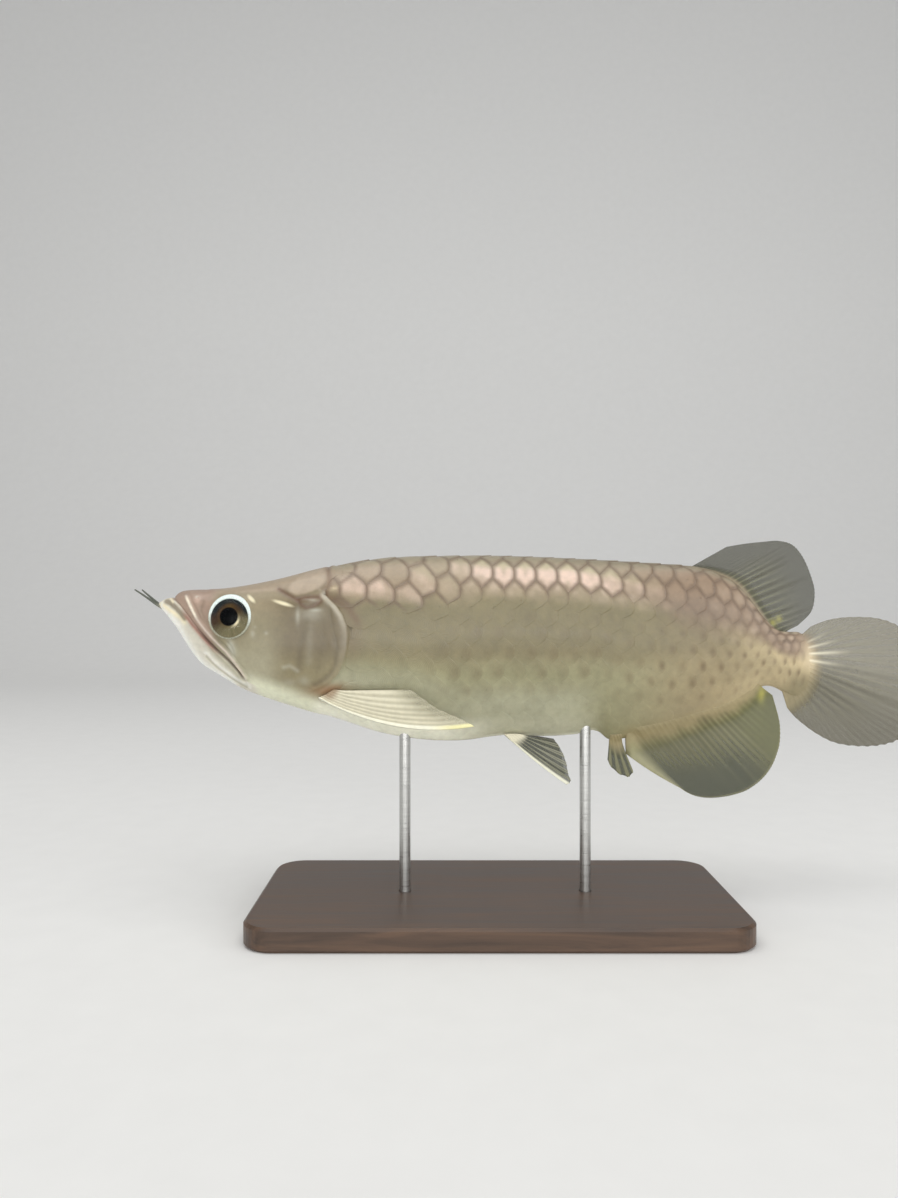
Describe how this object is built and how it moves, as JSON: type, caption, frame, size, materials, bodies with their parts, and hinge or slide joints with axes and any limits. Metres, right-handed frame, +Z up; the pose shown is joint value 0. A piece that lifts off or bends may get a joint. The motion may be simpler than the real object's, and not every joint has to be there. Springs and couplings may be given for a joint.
{
  "type": "fish model",
  "caption": "Still life-size Asian arowana with an upturned jaw, large scales and rounded rear fins, held level by upright rods on a flat stand.",
  "frame": {"origin": "middle of the underside of the stand plate", "axes": "-X towards the head, +X towards the tail, -Y out of the fish's left side, +Z up"},
  "size_m": [0.3601, 0.096, 0.1675],
  "materials": {
    "skin": "moist skin with a pearly sheen",
    "jaw_skin": "pale moist skin with a pearly sheen",
    "scales": "large overlapping scales, pearly, pink along the back and pale at the keel",
    "eye": "clear glossy cornea over a dark brown iris",
    "barbel": "soft dull skin",
    "fin": "thin translucent membrane over fine rays",
    "pale_fin": "thin pale membrane over cream rays",
    "stand_plate": "dark stained wood, satin",
    "stand_rod": "fine brushed"
  },
  "bodies": {
    "root": {"head": "skin", "lower_jaw": "jaw_skin", "gill_cover_left": "skin", "gill_cover_right": "skin", "eye_left": "eye", "eye_right": "eye", "barbel_left": "barbel", "barbel_right": "barbel", "trunk_front": "scales", "trunk_rear": "scales", "tail_stalk": "scales", "dorsal_fin": "fin", "anal_fin": "fin", "anal_fin_lobe": "fin", "tail_fin": "fin", "pectoral_fin_left": "pale_fin", "pectoral_fin_right": "pale_fin", "pelvic_fin_left": "fin", "pelvic_fin_right": "fin", "stand_base": "stand_plate", "stand_rod_front": "stand_rod", "stand_rod_rear": "stand_rod"}
  },
  "joints": []
}
